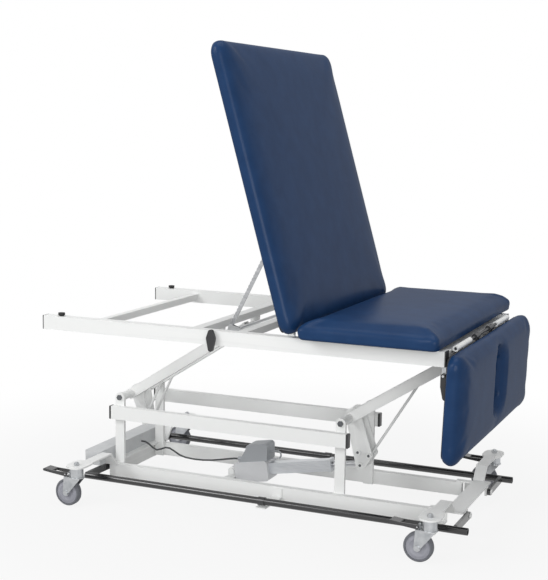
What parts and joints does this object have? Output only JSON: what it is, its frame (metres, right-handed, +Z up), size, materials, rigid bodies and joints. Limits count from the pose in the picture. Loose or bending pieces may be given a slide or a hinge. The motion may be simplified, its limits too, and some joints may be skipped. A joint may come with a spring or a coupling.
{
  "type": "treatment table",
  "caption": "Treatment table with a lifted back section, a seat and a hanging drop section on an electric lift frame with casters and foot bars.",
  "frame": {"origin": "on the floor under the middle of the table's length and width, in the pose of the picture", "axes": "+X along the table towards the drop section, +Y towards the back long side, +Z up"},
  "size_m": [1.6152, 1.016, 1.6954],
  "materials": {
    "black": "black plastic",
    "black_bar": "black powder coat",
    "board": "covered plywood",
    "box": "grey paint",
    "cable": "black cable",
    "motor": "cast housing",
    "paint": "powder coated",
    "rubber": "black rubber",
    "steel": "bright steel",
    "tyre": "grey tread",
    "vinyl": "navy vinyl over foam",
    "zinc": "zinc plated"
  },
  "bodies": {
    "base": {"base_rail_front": "paint", "base_rail_back": "paint", "left_end_plate": "paint", "right_end_plate": "paint", "left_cross_plate": "paint", "posts": "paint", "mid_rail_front": "paint", "mid_rail_back": "paint", "mid_rail_caps": "black", "control_box": "box", "actuator_cable": "cable", "actuator_anchor": "paint", "pivot_bolts": "zinc", "foot_bar_mounts": "paint", "caster_stems": "zinc"},
    "main_arm": {"main_arm_tubes": "paint", "main_pivot_tubes": "paint", "crank_plates": "paint"},
    "second_arm": {"second_arm_tubes": "paint", "second_pivot_tubes": "paint", "second_stay_plates": "paint"},
    "top_frame": {"top_rail_front": "paint", "top_rail_back": "paint", "cross_tubes": "paint", "pivot_hangers": "paint", "top_rail_caps": "black", "bumpers": "rubber", "seat_board": "board", "seat_cushion": "vinyl", "back_hinge_lugs": "paint", "drop_hinge_barrels": "paint", "bar_brackets": "zinc", "drop_lever_bracket": "zinc"},
    "back": {"back_board": "board", "back_cushion": "vinyl", "back_hinge_straps": "steel"},
    "support_bars": {"support_bars": "steel"},
    "back_release": {"back_release_handle": "black", "back_release_shaft": "steel"},
    "drop": {"drop_board": "board", "drop_cushion": "vinyl", "drop_hinge_arms": "steel"},
    "drop_lever": {"drop_release_lever": "black"},
    "foot_bar_front": {"foot_bar_front": "black_bar"},
    "foot_bar_back": {"foot_bar_back": "black_bar"},
    "actuator_body": {"actuator_motor": "motor", "actuator_tube": "motor"},
    "actuator_rod": {"actuator_rod": "steel"},
    "swivel_front_left": {"fork_front_left": "zinc"},
    "wheel_front_left": {"wheel_front_left": "tyre"},
    "pedal_front_left": {"pedal_front_left": "black_bar"},
    "swivel_front_right": {"fork_front_right": "zinc"},
    "wheel_front_right": {"wheel_front_right": "tyre"},
    "pedal_front_right": {"pedal_front_right": "black_bar"},
    "swivel_back_left": {"fork_back_left": "zinc"},
    "wheel_back_left": {"wheel_back_left": "tyre"},
    "pedal_back_left": {"pedal_back_left": "black_bar"},
    "swivel_back_right": {"fork_back_right": "zinc"},
    "wheel_back_right": {"wheel_back_right": "tyre"},
    "pedal_back_right": {"pedal_back_right": "black_bar"}
  },
  "joints": [
    {"name": "lift", "type": "hinge", "parent": "base", "child": "main_arm", "pos_m": [0.2687, 0, 0.359], "axis": [0, -1, 0], "range_deg": [-34.5, 26]},
    {"name": "second_arm_turn", "type": "hinge", "parent": "base", "child": "second_arm", "pos_m": [-0.6457, 0, 0.359], "axis": [0, -1, 0], "range_deg": [-34.5, 26]},
    {"name": "frame_level", "type": "hinge", "parent": "main_arm", "child": "top_frame", "pos_m": [0.69619, 0, 0.63344], "axis": [0, -1, 0], "range_deg": [-26, 34.5]},
    {"name": "actuator_tilt", "type": "hinge", "parent": "base", "child": "actuator_body", "pos_m": [-0.2255, 0, 0.084], "axis": [0, -1, 0], "range_deg": [-0.7, 0.9]},
    {"name": "actuator_stroke", "type": "slide", "parent": "actuator_body", "child": "actuator_rod", "axis": [0.9851, 0, 0.1718], "range_m": [-0.107, 0.081]},
    {"name": "back_tilt", "type": "hinge", "parent": "top_frame", "child": "back", "pos_m": [0.17, 0, 0.71464], "axis": [0, 1, 0], "range_deg": [-73.25, 0]},
    {"name": "support_bar_turn", "type": "hinge", "parent": "top_frame", "child": "support_bars", "pos_m": [-0.1065, 0, 0.70414], "axis": [0, 1, 0], "range_deg": [-116, 0]},
    {"name": "back_release_turn", "type": "hinge", "parent": "top_frame", "child": "back_release", "pos_m": [-0.108, 0, 0.68424], "axis": [0, 1, 0], "range_deg": [-25, 25], "stiffness_Nm_per_rad": 2},
    {"name": "drop_tilt", "type": "hinge", "parent": "top_frame", "child": "drop", "pos_m": [0.7345, 0, 0.70814], "axis": [0, -1, 0], "range_deg": [0, 91.8]},
    {"name": "drop_lever_turn", "type": "hinge", "parent": "top_frame", "child": "drop_lever", "pos_m": [0.708, -0.406, 0.622], "axis": [0, 1, 0], "range_deg": [0, 20], "stiffness_Nm_per_rad": 1, "springref_deg": -11.46},
    {"name": "foot_bar_front_press", "type": "hinge", "parent": "base", "child": "foot_bar_front", "pos_m": [0, -0.15, 0.084], "axis": [1, 0, 0], "range_deg": [0, 1.6], "stiffness_Nm_per_rad": 400, "springref_deg": -1.15},
    {"name": "foot_bar_back_press", "type": "hinge", "parent": "base", "child": "foot_bar_back", "pos_m": [0, 0.15, 0.084], "axis": [-1, 0, 0], "range_deg": [0, 1.6], "stiffness_Nm_per_rad": 400, "springref_deg": -1.15},
    {"name": "swivel_front_left", "type": "hinge", "parent": "base", "child": "swivel_front_left", "pos_m": [-0.6665, -0.442, 0.13], "axis": [0, 0, 1], "continuous": true},
    {"name": "wheel_front_left", "type": "hinge", "parent": "swivel_front_left", "child": "wheel_front_left", "pos_m": [-0.7025, -0.442, 0.051], "axis": [0, 1, 0], "continuous": true},
    {"name": "pedal_front_left", "type": "hinge", "parent": "swivel_front_left", "child": "pedal_front_left", "pos_m": [-0.7045, -0.442, 0.1225], "axis": [0, 1, 0], "range_deg": [-10, 0]},
    {"name": "swivel_front_right", "type": "hinge", "parent": "base", "child": "swivel_front_right", "pos_m": [0.6905, -0.442, 0.13], "axis": [0, 0, 1], "continuous": true},
    {"name": "wheel_front_right", "type": "hinge", "parent": "swivel_front_right", "child": "wheel_front_right", "pos_m": [0.6545, -0.442, 0.051], "axis": [0, 1, 0], "continuous": true},
    {"name": "pedal_front_right", "type": "hinge", "parent": "swivel_front_right", "child": "pedal_front_right", "pos_m": [0.6525, -0.442, 0.1225], "axis": [0, 1, 0], "range_deg": [-10, 0]},
    {"name": "swivel_back_left", "type": "hinge", "parent": "base", "child": "swivel_back_left", "pos_m": [-0.6665, 0.442, 0.13], "axis": [0, 0, 1], "continuous": true},
    {"name": "wheel_back_left", "type": "hinge", "parent": "swivel_back_left", "child": "wheel_back_left", "pos_m": [-0.7025, 0.442, 0.051], "axis": [0, 1, 0], "continuous": true},
    {"name": "pedal_back_left", "type": "hinge", "parent": "swivel_back_left", "child": "pedal_back_left", "pos_m": [-0.7045, 0.442, 0.1225], "axis": [0, 1, 0], "range_deg": [-10, 0]},
    {"name": "swivel_back_right", "type": "hinge", "parent": "base", "child": "swivel_back_right", "pos_m": [0.6905, 0.442, 0.13], "axis": [0, 0, 1], "continuous": true},
    {"name": "wheel_back_right", "type": "hinge", "parent": "swivel_back_right", "child": "wheel_back_right", "pos_m": [0.6545, 0.442, 0.051], "axis": [0, 1, 0], "continuous": true},
    {"name": "pedal_back_right", "type": "hinge", "parent": "swivel_back_right", "child": "pedal_back_right", "pos_m": [0.6525, 0.442, 0.1225], "axis": [0, 1, 0], "range_deg": [-10, 0]}
  ],
  "couplings": [
    {"joint": "second_arm_turn", "follows": "lift", "ratio": 1},
    {"joint": "frame_level", "follows": "lift", "ratio": -1},
    {"joint": "actuator_tilt", "follows": "lift", "ratio": -0.02395},
    {"joint": "actuator_stroke", "follows": "lift", "m_per_rad": 0.1765},
    {"joint": "support_bar_turn", "follows": "back_tilt", "ratio": 1.582}
  ]
}
